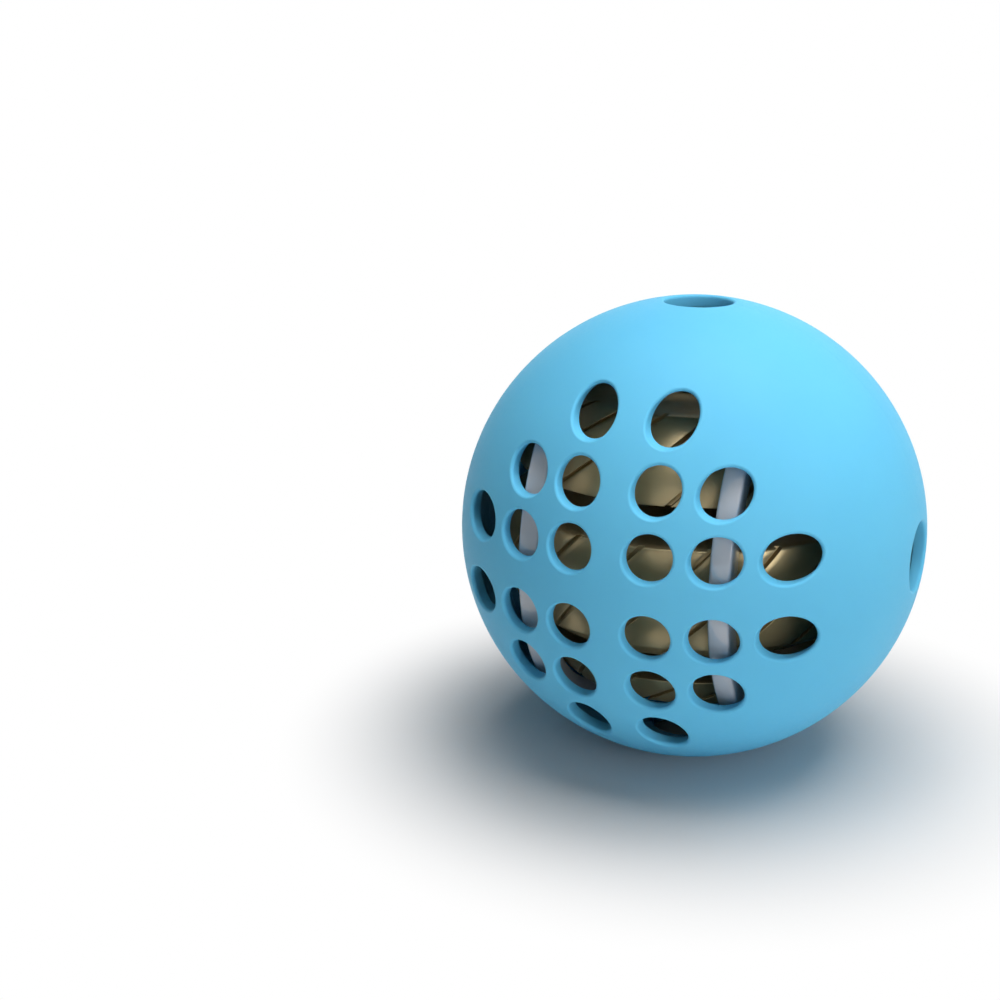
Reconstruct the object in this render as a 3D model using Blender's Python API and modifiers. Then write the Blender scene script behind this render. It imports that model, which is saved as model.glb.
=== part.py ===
"""Anti-scale laundry ball: a perforated plastic ball that holds a slotted brass core.

Two half shells meet in the plane Y = 0. Inside them two flat hoops carry a round core of three
cast discs. A bolt runs down the middle and clamps the discs between two cross bars.
The ball's centre is the origin, +Z is up and the front half shell faces -Y. Units are metres.
"""

import math

import bmesh
import bpy
from mathutils import Matrix, Vector

# Driving dimensions of the shell
BALL_RADIUS = 0.045
SHELL_WALL = 0.0025
PLAY = 0.0003

# Small holes, drawn along Y: each stands on a square grid that is mirrored in X and in Z
HOLE_RADIUS = 0.0043
HOLE_FIRST = 0.0072
HOLE_PITCH = 0.0110
HOLE_RANKS = 3

# Larger holes at the top, at the bottom and on the right, half in each shell
PORT_RADIUS = 0.0065

# Seam: the back shell's tongue enters a rebate in the front shell, and pegs enter bosses
TONGUE_THICKNESS = 0.0011
TONGUE_LENGTH = 0.0030
BOSS_RADIUS = 0.0026
BOSS_LENGTH = 0.0080
BOSS_IN_WALL = 0.0010
PEG_RADIUS = 0.0011
PEG_LENGTH = 0.0045

# Hoops, flat rings in planes of constant X
HOOP_PLACE = 0.0180
HOOP_WIDTH = 0.0036
HOOP_DEPTH = 0.00435
HOOP_ROUNDING = 0.0010
KEY_DEPTH = 0.0013
KEY_WIDTH = 0.0024
KEY_HEIGHT = 0.0030

# Core: a sphere cut into three discs at these latitudes, each a cup that is open underneath
TOP_DISC_LATITUDE = math.radians(22.1)
MIDDLE_TOP_LATITUDE = math.radians(10.3)
MIDDLE_EDGE_LATITUDE = math.radians(-20.6)
BOTTOM_DISC_LATITUDE = math.radians(-35.0)
CHAMFER_HEIGHT = 0.0030
CHAMFER_DEPTH = 0.0044
DISC_WEB = 0.0025
DISC_RIM = 0.0027
DISC_BEVEL = 0.0005

# Slots that lean across the discs' rims
SLOT_COUNT = 18
SLOT_WIDTH = 0.0008
SLOT_DEPTH = 0.0012
SLOT_LEAN = math.radians(45.0)
TOP_SLOT_TURN = math.radians(9.0)
MIDDLE_SLOT_TURN = math.radians(14.5)
BOTTOM_SLOT_TURN = math.radians(17.2)

# Cross bars, bolt and what the bolt clamps
BAR_WIDTH = 0.0070
BAR_HEIGHT = 0.0044
BAR_SEAT = 0.0010
BOLT_RADIUS = 0.0025
BOLT_HEAD_RADIUS = 0.0046
BOLT_HEAD_HEIGHT = 0.0030
BOLT_END = 0.0010
NUT_HEIGHT = 0.0040
SPACER_RADIUS = 0.0060
WASHER_RADIUS = 0.0055
WASHER_THICKNESS = 0.0010

# Steps of the turned shapes and of the holes
SHELL_STEPS = 36
SHELL_ARC_STEPS = 9
HOLE_STEPS = 16
PORT_STEPS = 24
HOOP_STEPS = 48
DISC_STEPS = 36
SMALL_STEPS = 24
PEG_STEPS = 10
HEX_STEPS = 6
SLOT_STEPS = 3
CORNER_STEPS = 2
REACH = 0.0050
SMOOTH_ANGLE = math.radians(30.0)
MERGE = 0.00001

# Sizes that follow from the driving dimensions
INNER_RADIUS = BALL_RADIUS - SHELL_WALL
TONGUE_RADIUS = INNER_RADIUS + TONGUE_THICKNESS
HOOP_RADIUS = math.sqrt(INNER_RADIUS**2 - (HOOP_PLACE + HOOP_WIDTH / 2)**2) - PLAY
HOOP_BORE = HOOP_RADIUS - HOOP_DEPTH
CORE_RADIUS = math.sqrt((HOOP_BORE - PLAY)**2 + (HOOP_PLACE - HOOP_WIDTH / 2)**2)
BOLT_BORE = BOLT_RADIUS + PLAY
BAR_OUTER = HOOP_BORE + BAR_SEAT - PLAY
BAR_INNER = BAR_OUTER - BAR_HEIGHT
BAR_HALF_LENGTH = HOOP_PLACE + HOOP_WIDTH / 2 - PLAY

# Heights of the discs' faces
TOP_DISC_TOP = BAR_INNER - WASHER_THICKNESS - 2 * PLAY
TOP_DISC_BOTTOM = CORE_RADIUS * math.sin(TOP_DISC_LATITUDE)
MIDDLE_DISC_TOP = CORE_RADIUS * math.sin(MIDDLE_TOP_LATITUDE)
MIDDLE_DISC_EDGE = CORE_RADIUS * math.sin(MIDDLE_EDGE_LATITUDE)
MIDDLE_DISC_FLOOR = MIDDLE_DISC_EDGE - CHAMFER_HEIGHT
BOTTOM_DISC_TOP = CORE_RADIUS * math.sin(BOTTOM_DISC_LATITUDE)
BOTTOM_DISC_BOTTOM = -TOP_DISC_TOP

# Turns from an object's own Z axis to the ball's axes
TO_BACK = Matrix.Rotation(-math.pi / 2, 4, "X")
TO_FRONT = Matrix.Rotation(math.pi / 2, 4, "X")
TO_RIGHT = Matrix.Rotation(math.pi / 2, 4, "Y")


def clear_scene():
    """Remove every object, so that the script can run again in the same file."""
    for item in list(bpy.data.objects):
        bpy.data.objects.remove(item, do_unlink=True)


def make_collection(name):
    """Return a new collection that is linked to the scene."""
    collection = bpy.data.collections.new(name)
    bpy.context.scene.collection.children.link(collection)
    return collection


def make_material(name, colour, roughness, metallic):
    """Return a material with a Principled BSDF of one colour."""
    material = bpy.data.materials.new(name)
    material.use_nodes = True
    shader = material.node_tree.nodes["Principled BSDF"]
    shader.inputs["Base Color"].default_value = (*colour, 1.0)
    shader.inputs["Roughness"].default_value = roughness
    shader.inputs["Metallic"].default_value = metallic
    return material


def blue_plastic(name):
    """Satin sky-blue plastic of the shells."""
    return make_material(name, (0.13, 0.54, 0.85), 0.42, 0.0)


def grey_plastic(name):
    """Cool light grey plastic of the hoops and bars."""
    return make_material(name, (0.42, 0.44, 0.50), 0.25, 0.0)


def brass(name):
    """Cast and turned brass of the discs."""
    return make_material(name, (0.42, 0.32, 0.16), 0.30, 1.0)


def steel(name):
    """Plain steel of the fasteners."""
    return make_material(name, (0.60, 0.60, 0.62), 0.30, 1.0)


def dark_plastic(name):
    """Dark grey plastic of the spacers."""
    return make_material(name, (0.05, 0.05, 0.055), 0.50, 0.0)


def add_object(name, mesh, collection, material=None):
    """Put a mesh into the scene as an object of its own."""
    item = bpy.data.objects.new(name, mesh)
    collection.objects.link(item)
    if material is not None:
        mesh.materials.append(material)
    return item


def hide_as_cutter(item):
    """Show a cutter as wires and keep it out of renders."""
    item.hide_render = True
    item.display_type = "WIRE"


def arc(radius, start, end, steps, centre=(0.0, 0.0)):
    """Points of an arc about a centre, as (distance from the axis, height)."""
    turns = [start + (end - start) * step / steps for step in range(steps + 1)]
    return [(centre[0] + radius * math.cos(t), centre[1] + radius * math.sin(t)) for t in turns]


def sphere_arc(radius, top, bottom, steps):
    """Points of a sphere's outline between two heights."""
    return arc(radius, math.asin(top / radius), math.asin(bottom / radius), steps)


def turned(name, profile, steps, collection, material=None, closed=True):
    """Turn a profile about the object's Z axis; it runs down its outer side."""
    bm = bmesh.new()
    points = [bm.verts.new((distance, 0.0, height)) for distance, height in profile]
    for first, second in zip(points, points[1:]):
        bm.edges.new((first, second))
    if closed:
        bm.edges.new((points[-1], points[0]))
    mesh = bpy.data.meshes.new(name)
    bm.to_mesh(mesh)
    bm.free()
    item = add_object(name, mesh, collection, material)
    screw = item.modifiers.new("turn", "SCREW")
    screw.axis = "Z"
    screw.angle = 2 * math.pi
    screw.steps = steps
    screw.render_steps = steps
    screw.use_merge_vertices = True
    screw.merge_threshold = MERGE
    screw.use_smooth_shade = True
    return item


def add_rod(bm, radius, start, end, steps):
    """Add a closed round bar between two points."""
    axis = Vector(end) - Vector(start)
    turn = Vector((0.0, 0.0, 1.0)).rotation_difference(axis).to_matrix().to_4x4()
    place = Matrix.Translation((Vector(start) + Vector(end)) / 2)
    bmesh.ops.create_cone(
        bm, cap_ends=True, segments=steps, radius1=radius, radius2=radius,
        depth=axis.length, matrix=place @ turn,
    )


def add_block(bm, low, high):
    """Add a box between its lowest and its highest corner."""
    size = Vector(high) - Vector(low)
    place = Matrix.Translation((Vector(low) + Vector(high)) / 2)
    bmesh.ops.create_cube(bm, size=1.0, matrix=place @ Matrix.Diagonal((*size, 1.0)))


def finish_mesh(bm, name, collection, material=None):
    """Turn a bmesh into an object with its faces pointing out."""
    bmesh.ops.recalc_face_normals(bm, faces=bm.faces)
    mesh = bpy.data.meshes.new(name)
    bm.to_mesh(mesh)
    bm.free()
    return add_object(name, mesh, collection, material)


def combine(item, operation, tool):
    """Join a tool to an object, or cut it out."""
    hide_as_cutter(tool)
    modifier = item.modifiers.new(tool.name, "BOOLEAN")
    modifier.operation = operation
    modifier.solver = "EXACT"
    modifier.object = tool


def shade(item):
    """Keep round surfaces smooth and real edges sharp."""
    item.data.shade_smooth()
    item.data.set_sharp_from_angle(angle=SMOOTH_ANGLE)


def hole_centres():
    """Places of the small holes as (X, Z): rows of two, four, six, six, four and two."""
    ranks = [HOLE_FIRST + HOLE_PITCH * rank for rank in range(HOLE_RANKS)]
    quarter = [
        (ranks[i], ranks[j]) for i in range(HOLE_RANKS) for j in range(HOLE_RANKS - i)
    ]
    return [(sx * x, sz * z) for x, z in quarter for sx in (-1, 1) for sz in (-1, 1)]


def hole_cutter(side, cutters):
    """Round cutters for one half's small holes; side is -1 for front and 1 for back."""
    bm = bmesh.new()
    widest = max(math.hypot(x, z) for x, z in hole_centres()) + HOLE_RADIUS
    inner_end = math.sqrt(INNER_RADIUS**2 - widest**2) - REACH
    outer_end = BALL_RADIUS + REACH
    for x, z in hole_centres():
        start = (x, side * inner_end, z)
        end = (x, side * outer_end, z)
        add_rod(bm, HOLE_RADIUS, start, end, HOLE_STEPS)
    return finish_mesh(bm, "hole_cutter_front" if side < 0 else "hole_cutter_back", cutters)


def port_cutter(cutters):
    """Round cutters for the larger holes on the right, at the top and at the bottom."""
    bm = bmesh.new()
    near = INNER_RADIUS - REACH
    far = BALL_RADIUS + REACH
    for way in ((1, 0, 0), (0, 0, 1), (0, 0, -1)):
        direction = Vector(way)
        add_rod(bm, PORT_RADIUS, direction * near, direction * far, PORT_STEPS)
    return finish_mesh(bm, "port_cutter", cutters)


def boss_places():
    """Centres of the seam bosses as (X, Z), midway between the X and Z axes."""
    distance = (INNER_RADIUS + BOSS_IN_WALL - BOSS_RADIUS) * math.sqrt(0.5)
    return [(sx * distance, sz * distance) for sx in (-1, 1) for sz in (-1, 1)]


def half_profile(lip_radius, lip_height):
    """Outline of a half shell about its own axis, from the outer pole to the inner pole.

    At the seam the inner part of the wall, within the lip's radius, ends at the lip's height:
    below the seam it is a tongue, and above the seam it is a rebate.
    """
    seam = PLAY / 2
    outer = sphere_arc(BALL_RADIUS, BALL_RADIUS, seam, SHELL_ARC_STEPS)
    outer[0] = (0.0, BALL_RADIUS)
    inner = sphere_arc(INNER_RADIUS, lip_height, INNER_RADIUS, SHELL_ARC_STEPS)
    inner[-1] = (0.0, INNER_RADIUS)
    return outer + [(lip_radius, seam), (lip_radius, lip_height)] + inner


def make_shell_front(parts, cutters, ports):
    """Front half shell, with a rebate for the tongue and four pegs on bosses."""
    rebate_depth = TONGUE_LENGTH + PLAY
    shell = turned(
        "shell_front", half_profile(TONGUE_RADIUS + PLAY, rebate_depth), SHELL_STEPS, parts,
        blue_plastic("blue_front"), closed=False,
    )
    shell.matrix_world = TO_FRONT
    boss_end = -rebate_depth - PLAY
    bm = bmesh.new()
    for x, z in boss_places():
        add_rod(bm, BOSS_RADIUS, (x, -BOSS_LENGTH, z), (x, boss_end, z), HOLE_STEPS)
    combine(shell, "UNION", finish_mesh(bm, "front_bosses", cutters))
    peg_root = (boss_end - BOSS_LENGTH) / 2
    bm = bmesh.new()
    for x, z in boss_places():
        add_rod(bm, PEG_RADIUS, (x, peg_root, z), (x, PEG_LENGTH, z), PEG_STEPS)
    combine(shell, "UNION", finish_mesh(bm, "front_pegs", cutters))
    combine(shell, "DIFFERENCE", hole_cutter(-1, cutters))
    combine(shell, "DIFFERENCE", ports)
    return shell


def make_shell_back(parts, cutters, ports):
    """Back half shell, with the tongue, four sockets and a key for each hoop."""
    shell = turned(
        "shell_back", half_profile(TONGUE_RADIUS, -TONGUE_LENGTH), SHELL_STEPS, parts,
        blue_plastic("blue_back"), closed=False,
    )
    shell.matrix_world = TO_BACK
    wall_middle = INNER_RADIUS + SHELL_WALL / 2
    key_tip = HOOP_RADIUS - KEY_DEPTH
    key_root = math.sqrt(wall_middle**2 - HOOP_PLACE**2)
    bm = bmesh.new()
    for x, z in boss_places():
        add_rod(bm, BOSS_RADIUS, (x, PLAY / 2, z), (x, BOSS_LENGTH, z), HOLE_STEPS)
    for side in (-1, 1):
        low = (side * HOOP_PLACE - KEY_WIDTH / 2, key_tip, -KEY_HEIGHT / 2)
        high = (side * HOOP_PLACE + KEY_WIDTH / 2, key_root, KEY_HEIGHT / 2)
        add_block(bm, low, high)
    combine(shell, "UNION", finish_mesh(bm, "back_bosses", cutters))
    bm = bmesh.new()
    for x, z in boss_places():
        end = (x, PEG_LENGTH + PLAY, z)
        add_rod(bm, PEG_RADIUS + PLAY, (x, -PLAY, z), end, PEG_STEPS)
    combine(shell, "DIFFERENCE", finish_mesh(bm, "back_sockets", cutters))
    combine(shell, "DIFFERENCE", hole_cutter(1, cutters))
    combine(shell, "DIFFERENCE", ports)
    return shell


def hoop_profile():
    """Section of a hoop, with round corners on its outer side."""
    half = HOOP_WIDTH / 2
    corner = HOOP_RADIUS - HOOP_ROUNDING
    upper = arc(
        HOOP_ROUNDING, math.pi / 2, 0.0, CORNER_STEPS, centre=(corner, half - HOOP_ROUNDING)
    )
    lower = arc(
        HOOP_ROUNDING, 0.0, -math.pi / 2, CORNER_STEPS, centre=(corner, HOOP_ROUNDING - half)
    )
    return [(HOOP_BORE, half)] + upper + lower + [(HOOP_BORE, -half)]


def make_hoop(name, side, parts, cutters):
    """Flat ring that carries the core, with a notch for its key and seats for the bars."""
    hoop = turned(name, hoop_profile(), HOOP_STEPS, parts, grey_plastic(name + "_grey"))
    hoop.matrix_world = Matrix.Translation((side * HOOP_PLACE, 0.0, 0.0)) @ TO_RIGHT
    bm = bmesh.new()
    near = side * HOOP_PLACE - HOOP_WIDTH
    far = side * HOOP_PLACE + HOOP_WIDTH
    notch = HOOP_RADIUS - KEY_DEPTH - PLAY
    half_key = KEY_HEIGHT / 2 + PLAY
    add_block(bm, (near, notch, -half_key), (far, HOOP_RADIUS + REACH, half_key))
    half_seat = BAR_WIDTH / 2 + PLAY
    seat = BAR_OUTER + PLAY
    inside = HOOP_BORE - REACH
    add_block(bm, (near, -half_seat, inside), (far, half_seat, seat))
    add_block(bm, (near, -half_seat, -seat), (far, half_seat, -inside))
    combine(hoop, "DIFFERENCE", finish_mesh(bm, name + "_seats", cutters))
    return hoop


def slot_cutter(name, turn, top, bottom, cutters):
    """Thin curved blades that lean across a disc's rim, all round."""
    low = math.asin(bottom / CORE_RADIUS)
    high = math.asin(top / CORE_RADIUS)
    middle = (low + high) / 2
    sweep = (high - low) / math.sin(SLOT_LEAN) + REACH / CORE_RADIUS
    lead = math.log(math.tan(math.pi / 4 + middle / 2)) / math.tan(SLOT_LEAN)
    bm = bmesh.new()
    for number in range(SLOT_COUNT):
        half = SLOT_WIDTH / 2
        inner = CORE_RADIUS - SLOT_DEPTH
        outer = CORE_RADIUS + REACH
        corners = [(inner, -half), (outer, -half), (outer, half), (inner, half)]
        ring = [bm.verts.new((radius, 0.0, height)) for radius, height in corners]
        face = bm.faces.new(ring)
        bmesh.ops.rotate(
            bm, verts=ring, cent=(0, 0, 0), matrix=Matrix.Rotation(-sweep / 2, 3, "Z")
        )
        bmesh.ops.spin(
            bm, geom=[face], cent=(0, 0, 0), axis=(0, 0, 1), dvec=(0, 0, 0), angle=sweep,
            steps=SLOT_STEPS, use_duplicate=False,
        )
        blade = [vert for vert in bm.verts if not vert.tag]
        azimuth = turn + lead + 2 * math.pi * number / SLOT_COUNT - math.pi / 2
        place = (
            Matrix.Rotation(azimuth, 3, "Z") @ Matrix.Rotation(-middle, 3, "Y")
            @ Matrix.Rotation(SLOT_LEAN, 3, "X")
        )
        bmesh.ops.rotate(bm, verts=blade, cent=(0, 0, 0), matrix=place)
        for vert in blade:
            vert.tag = True
    bmesh.ops.holes_fill(bm, edges=bm.edges, sides=4)
    return finish_mesh(bm, name, cutters)


def bevelled_rim(top, bottom, steps):
    """Outer side of a disc: a small bevel at the top edge, then the core's sphere."""
    start = sphere_arc(CORE_RADIUS, top - DISC_BEVEL, bottom, steps)
    edge = math.sqrt(CORE_RADIUS**2 - top**2)
    return [(edge - DISC_BEVEL, top)] + start


def cup_profile(top, rim, inner):
    """Section of a disc with a bore, a web, a rim and an open underside."""
    web = top - DISC_WEB
    return [(BOLT_BORE, top)] + rim + inner + [(BOLT_BORE, web)]


def make_disc(name, profile, turn, top, bottom, parts, cutters):
    """One cast disc of the core with its leaning slots."""
    disc = turned(name, profile, DISC_STEPS, parts, brass(name + "_brass"))
    combine(disc, "DIFFERENCE", slot_cutter(name + "_slots", turn, top, bottom, cutters))
    return disc


def make_discs(parts, cutters):
    """The three discs, each with its own heights on the core's sphere."""
    cavity = CORE_RADIUS - DISC_RIM
    inner = sphere_arc(cavity, TOP_DISC_BOTTOM, TOP_DISC_TOP - DISC_WEB, 2)
    profile = cup_profile(
        TOP_DISC_TOP, bevelled_rim(TOP_DISC_TOP, TOP_DISC_BOTTOM, 4), inner
    )
    make_disc("disc_top", profile, TOP_SLOT_TURN, TOP_DISC_TOP, TOP_DISC_BOTTOM, parts, cutters)
    foot = CORE_RADIUS * math.cos(MIDDLE_EDGE_LATITUDE) - CHAMFER_DEPTH
    inner = [(foot - DISC_RIM, MIDDLE_DISC_FLOOR)]
    inner += sphere_arc(cavity, MIDDLE_DISC_EDGE, MIDDLE_DISC_TOP - DISC_WEB, 3)
    rim = bevelled_rim(MIDDLE_DISC_TOP, MIDDLE_DISC_EDGE, 4) + [(foot, MIDDLE_DISC_FLOOR)]
    make_disc(
        "disc_middle", cup_profile(MIDDLE_DISC_TOP, rim, inner), MIDDLE_SLOT_TURN,
        MIDDLE_DISC_TOP, MIDDLE_DISC_FLOOR, parts, cutters,
    )
    inner = sphere_arc(cavity, BOTTOM_DISC_BOTTOM, BOTTOM_DISC_TOP - DISC_WEB, 2)
    rim = bevelled_rim(BOTTOM_DISC_TOP, BOTTOM_DISC_BOTTOM, 2)
    make_disc(
        "disc_bottom", cup_profile(BOTTOM_DISC_TOP, rim, inner), BOTTOM_SLOT_TURN,
        BOTTOM_DISC_TOP, BOTTOM_DISC_BOTTOM, parts, cutters,
    )


def make_bar(name, side, parts, cutters):
    """Cross bar whose ends sit in the hoops; side is 1 for the top bar and -1 below."""
    bm = bmesh.new()
    heights = sorted((side * BAR_INNER, side * BAR_OUTER))
    low = (-BAR_HALF_LENGTH, -BAR_WIDTH / 2, heights[0])
    high = (BAR_HALF_LENGTH, BAR_WIDTH / 2, heights[1])
    add_block(bm, low, high)
    bar = finish_mesh(bm, name, parts, grey_plastic(name + "_grey"))
    bm = bmesh.new()
    start = (0.0, 0.0, heights[0] - REACH)
    add_rod(bm, BOLT_BORE, start, (0.0, 0.0, heights[1] + REACH), SMALL_STEPS)
    combine(bar, "DIFFERENCE", finish_mesh(bm, name + "_bore", cutters))
    return bar


def make_sleeve(name, radius, top, bottom, parts, material):
    """Plain tube round the bolt, with play at both ends."""
    high = top - PLAY
    low = bottom + PLAY
    profile = [(BOLT_BORE, high), (radius, high), (radius, low), (BOLT_BORE, low)]
    return turned(name, profile, SMALL_STEPS, parts, material)


def make_stack(parts):
    """Spacers and washers that keep the discs apart on the bolt."""
    make_sleeve(
        "washer_top", WASHER_RADIUS, BAR_INNER, TOP_DISC_TOP, parts, steel("washer_steel")
    )
    make_sleeve(
        "spacer_upper", SPACER_RADIUS, TOP_DISC_TOP - DISC_WEB, MIDDLE_DISC_TOP, parts,
        dark_plastic("spacer_upper_grey"),
    )
    make_sleeve(
        "spacer_lower", SPACER_RADIUS, MIDDLE_DISC_TOP - DISC_WEB, BOTTOM_DISC_TOP, parts,
        dark_plastic("spacer_lower_grey"),
    )
    make_sleeve(
        "collar_bottom", SPACER_RADIUS, BOTTOM_DISC_TOP - DISC_WEB, -BAR_INNER, parts,
        dark_plastic("collar_grey"),
    )


def make_fasteners(parts, cutters):
    """Hexagon bolt that hangs through the stack, and its nut on the top bar."""
    head_top = -BAR_OUTER - PLAY
    nut_bottom = BAR_OUTER + PLAY
    tip = nut_bottom + NUT_HEIGHT + BOLT_END
    bm = bmesh.new()
    head_bottom = (0.0, 0.0, head_top - BOLT_HEAD_HEIGHT)
    add_rod(bm, BOLT_HEAD_RADIUS, head_bottom, (0.0, 0.0, head_top), HEX_STEPS)
    bolt = finish_mesh(bm, "tie_bolt", parts, steel("bolt_steel"))
    bm = bmesh.new()
    start = (0.0, 0.0, head_top - BOLT_HEAD_HEIGHT / 2)
    add_rod(bm, BOLT_RADIUS, start, (0.0, 0.0, tip), SMALL_STEPS)
    combine(bolt, "UNION", finish_mesh(bm, "bolt_shank", cutters))
    bm = bmesh.new()
    nut_top = (0.0, 0.0, nut_bottom + NUT_HEIGHT)
    add_rod(bm, BOLT_HEAD_RADIUS, (0.0, 0.0, nut_bottom), nut_top, HEX_STEPS)
    nut = finish_mesh(bm, "lock_nut", parts, steel("nut_steel"))
    bm = bmesh.new()
    start = (0.0, 0.0, nut_bottom - REACH)
    add_rod(bm, BOLT_BORE, start, (0.0, 0.0, tip + REACH), SMALL_STEPS)
    combine(nut, "DIFFERENCE", finish_mesh(bm, "nut_bore", cutters))


def main():
    """Build the ball from its shell inwards."""
    clear_scene()
    parts = make_collection("laundry_ball")
    cutters = make_collection("laundry_ball_cutters")
    ports = port_cutter(cutters)
    make_shell_front(parts, cutters, ports)
    make_shell_back(parts, cutters, ports)
    make_hoop("hoop_left", -1, parts, cutters)
    make_hoop("hoop_right", 1, parts, cutters)
    make_discs(parts, cutters)
    make_bar("bridge_top", 1, parts, cutters)
    make_bar("bridge_bottom", -1, parts, cutters)
    make_stack(parts)
    make_fasteners(parts, cutters)
    for item in parts.objects:
        shade(item)


main()
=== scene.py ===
# %% [markdown]
# # An anti-scale laundry ball
# The real object is a hollow plastic ball that tumbles with the wash. Water runs through its many
# holes and past a round brass core, which is cut into three discs and held between two grey hoops.
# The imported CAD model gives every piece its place, so it is loaded first and never moved. Each cell
# after that makes one piece or one finish around it.

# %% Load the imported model
import math

import bpy
import numpy as np
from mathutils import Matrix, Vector
from mathutils.geometry import delaunay_2d_cdt


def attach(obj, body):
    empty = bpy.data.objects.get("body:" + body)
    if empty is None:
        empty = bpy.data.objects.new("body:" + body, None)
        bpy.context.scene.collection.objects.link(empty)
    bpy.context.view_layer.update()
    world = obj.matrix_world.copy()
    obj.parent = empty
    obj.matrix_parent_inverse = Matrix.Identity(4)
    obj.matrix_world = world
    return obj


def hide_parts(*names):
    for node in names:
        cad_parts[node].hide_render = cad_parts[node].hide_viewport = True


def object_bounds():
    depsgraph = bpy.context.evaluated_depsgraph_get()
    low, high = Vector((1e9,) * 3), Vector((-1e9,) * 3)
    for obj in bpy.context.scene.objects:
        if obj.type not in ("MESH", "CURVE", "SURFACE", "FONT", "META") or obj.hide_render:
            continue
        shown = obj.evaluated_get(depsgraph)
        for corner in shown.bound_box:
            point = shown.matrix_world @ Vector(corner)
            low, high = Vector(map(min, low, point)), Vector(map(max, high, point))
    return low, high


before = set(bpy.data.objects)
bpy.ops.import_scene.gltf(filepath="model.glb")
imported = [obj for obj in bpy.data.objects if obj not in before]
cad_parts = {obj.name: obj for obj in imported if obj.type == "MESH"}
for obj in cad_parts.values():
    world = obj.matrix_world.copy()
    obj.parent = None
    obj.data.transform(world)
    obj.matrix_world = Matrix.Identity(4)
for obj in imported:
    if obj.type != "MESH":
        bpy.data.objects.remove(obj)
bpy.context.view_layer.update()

# %% [markdown]
# ## Camera
# The photograph was taken with a fairly long lens from a little above and from the right of the
# ball's front. The camera stands at the same place, so that each hole shows the same part of the
# core.

# %% Camera
MM = 0.001
CAMERA_PLACE = (102.4 * MM, -298.2 * MM, 100.1 * MM)
CAMERA_TURN = (math.radians(73.12), 0.0, math.radians(25.79))
CAMERA_LENS = 60.2

bpy.ops.object.camera_add(location=CAMERA_PLACE, rotation=CAMERA_TURN)
camera = bpy.context.object
camera.name = "photo_camera"
camera.data.lens = CAMERA_LENS
camera.data.clip_start = 10 * MM
bpy.context.scene.camera = camera
print("camera stands", round(Vector(CAMERA_PLACE).length, 3), "m from the ball's centre")

# %% [markdown]
# ## Helpers for modelling
# Operators act on whatever is selected, and the CAD nodes come in selected. So each piece starts
# with nothing selected, and faces or edges are picked in code by their place, not by clicking.
# Every piece ends the same way: it gets its name, the body that it moves with, and its material
# slot with the finish that fills it.

# %% Select and pick
BACK = "back_and_core"
FRONT = "front_half"
SHARP = math.radians(32.0)
LEVEL = 0.01 * MM
finishes = {}


def begin():
    """Leave nothing selected, so that the next operator acts on its own piece alone."""
    bpy.ops.object.select_all(action="DESELECT")


def use(piece):
    """Select one piece and make it the active one."""
    begin()
    piece.select_set(True)
    bpy.context.view_layer.objects.active = piece


def edit_all(piece):
    """Go into edit mode with all of a piece selected."""
    use(piece)
    bpy.ops.object.mode_set(mode="EDIT")
    bpy.ops.mesh.select_all(action="SELECT")


def done():
    """Leave edit mode."""
    bpy.ops.object.mode_set(mode="OBJECT")


def pick(piece, kind, test):
    """Go into edit mode with only the edges or faces selected that pass a test."""
    use(piece)
    bpy.ops.object.mode_set(mode="EDIT")
    bpy.ops.mesh.select_mode(type=kind)
    bpy.ops.mesh.select_all(action="DESELECT")
    done()
    mesh = piece.data
    if kind == "FACE":
        for face in mesh.polygons:
            face.select = test(face.center, face.normal)
    else:
        for edge in mesh.edges:
            first, last = (mesh.vertices[i].co for i in edge.vertices)
            edge.select = test(first, last)
    bpy.ops.object.mode_set(mode="EDIT")


def tidy_mesh(piece, distance=0.0005 * MM):
    """Merge doubled points and turn every face outwards."""
    edit_all(piece)
    bpy.ops.mesh.remove_doubles(threshold=distance)
    bpy.ops.mesh.normals_make_consistent(inside=False)
    done()


def finish_piece(piece, name, body, slot, *nodes):
    """Name a piece, shade it, give it its slot's finish, and tie it to its CAD body."""
    use(piece)
    bpy.ops.object.transform_apply()
    bpy.ops.object.shade_smooth_by_angle(angle=SHARP)
    piece.name = name
    piece.data.name = name
    piece.data.materials.clear()
    piece.data.materials.append(finishes[slot])
    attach(piece, body)
    if nodes:
        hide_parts(*nodes)
    print(name, len(piece.data.polygons), "faces")
    return piece


print("pieces are tied to", BACK, "or to", FRONT)

# %% [markdown]
# ## Shapes that come up again
# A round bar is Blender's cylinder, stood along the line between two points. A ring starts as such
# a bar: both ends are inset, and the two inner faces are bridged, which opens the bore. Cutting and
# joining is done with the Boolean modifier, which is applied at once. Shapes that no primitive is
# near to start from their own points instead.

# %% Rods, rings and cuts


def add_rod(radius, start, end, sides):
    """A round bar between two points."""
    line = Vector(end) - Vector(start)
    begin()
    bpy.ops.mesh.primitive_cylinder_add(
        vertices=sides, radius=radius, depth=line.length, end_fill_type="NGON",
        location=(Vector(start) + Vector(end)) / 2,
        rotation=line.to_track_quat("Z", "Y").to_euler(),
    )
    bpy.ops.object.transform_apply()
    return bpy.context.object


def add_block(low, high):
    """A box between its lowest and its highest corner."""
    begin()
    bpy.ops.mesh.primitive_cube_add(
        size=1.0, location=(Vector(low) + Vector(high)) / 2, scale=Vector(high) - Vector(low)
    )
    bpy.ops.object.transform_apply()
    return bpy.context.object


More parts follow.
